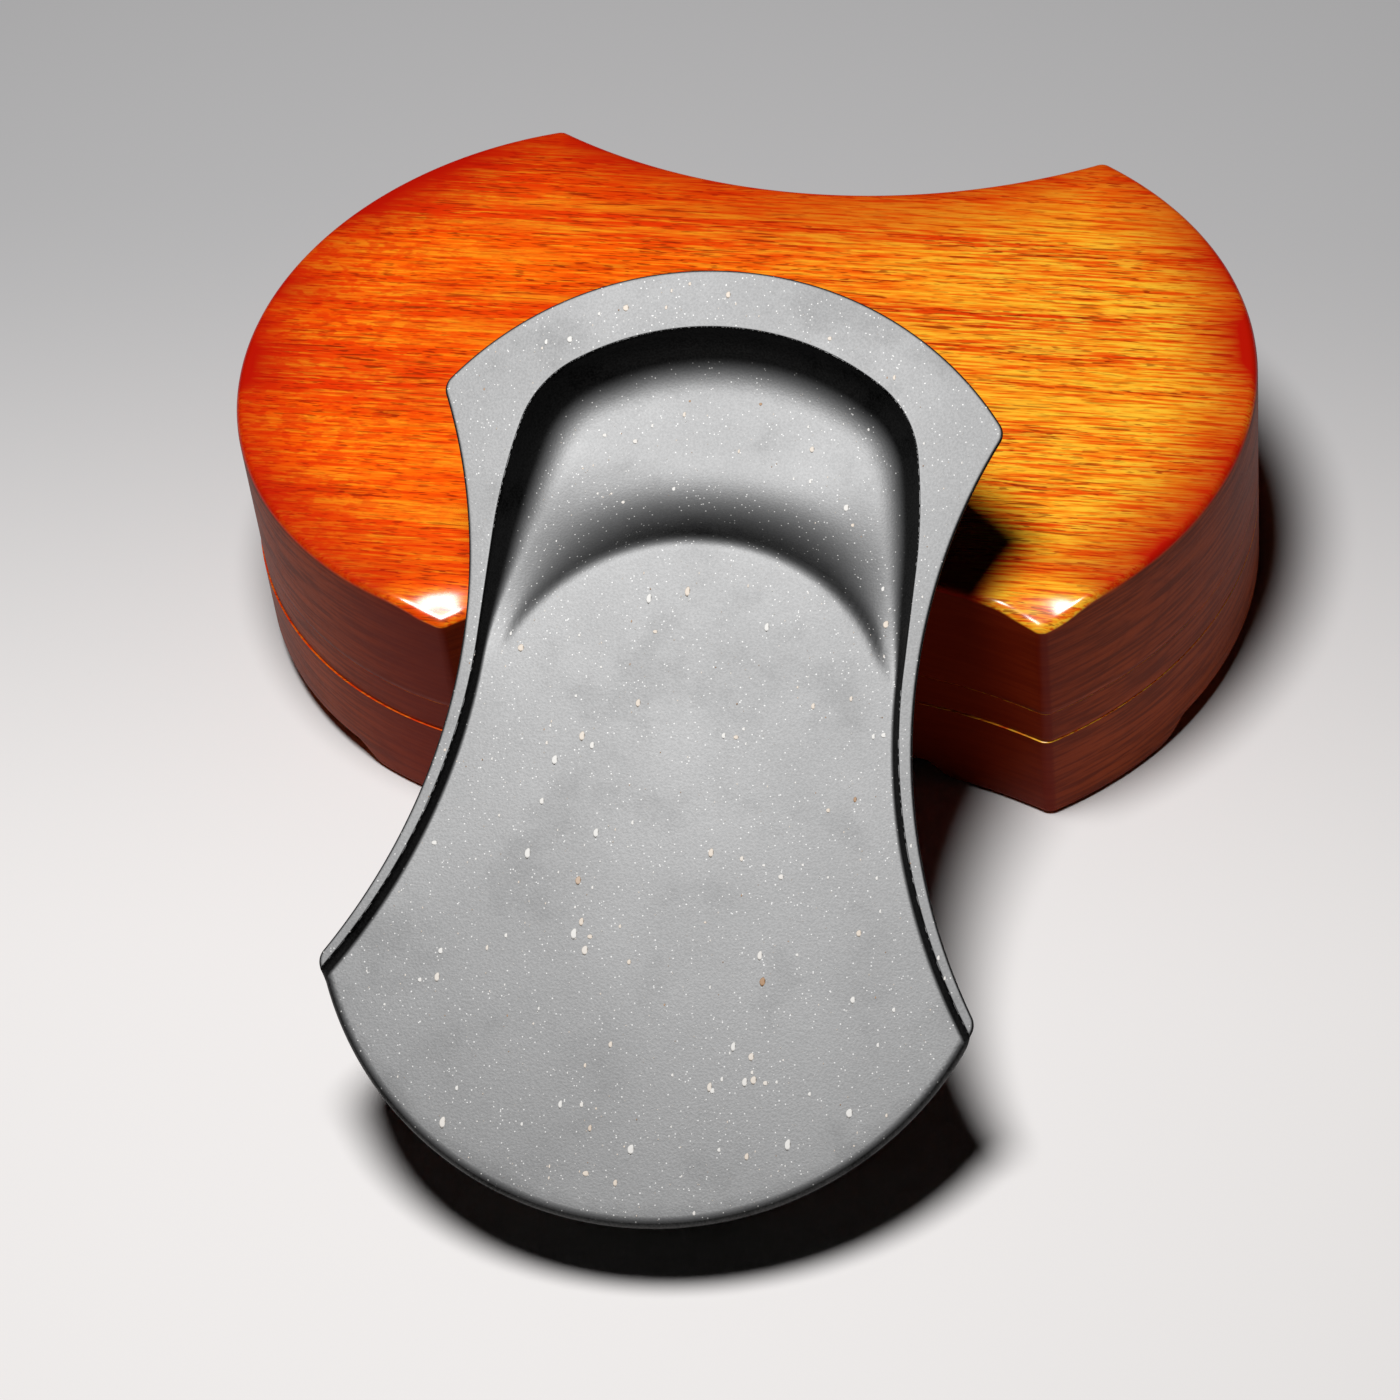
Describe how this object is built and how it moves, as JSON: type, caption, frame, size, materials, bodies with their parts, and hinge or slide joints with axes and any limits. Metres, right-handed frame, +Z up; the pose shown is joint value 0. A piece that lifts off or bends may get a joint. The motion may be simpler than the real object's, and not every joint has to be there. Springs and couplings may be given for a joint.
{
  "type": "ink stone with fitted case",
  "caption": "Fan-shaped slate ink stone with a grinding pool and ink well, leaning on the closed two-part wooden case that is cut to its outline.",
  "frame": {"origin": "on the table, under the middle of the whole set's bounding box", "axes": "+X along the case towards its narrow end, +Y from the stone towards the case, +Z up"},
  "size_m": [0.1788, 0.2232, 0.0887],
  "materials": {
    "slate": "satin",
    "lacquered_wood": "gloss"
  },
  "bodies": {
    "base": {"case_base": "lacquered_wood"},
    "lid": {"lid_rim": "lacquered_wood", "case_lid": "lacquered_wood"},
    "stone": {"ink_stone": "slate"}
  },
  "joints": [
    {"name": "lid_lift", "type": "slide", "parent": "base", "child": "lid", "axis": [0, 0, 1], "range_m": [0, 0.06]},
    {"name": "stone_lift", "type": "slide", "parent": "lid", "child": "stone", "axis": [0.0381, -0.4508, 0.8918], "range_m": [0, 0.12]}
  ]
}
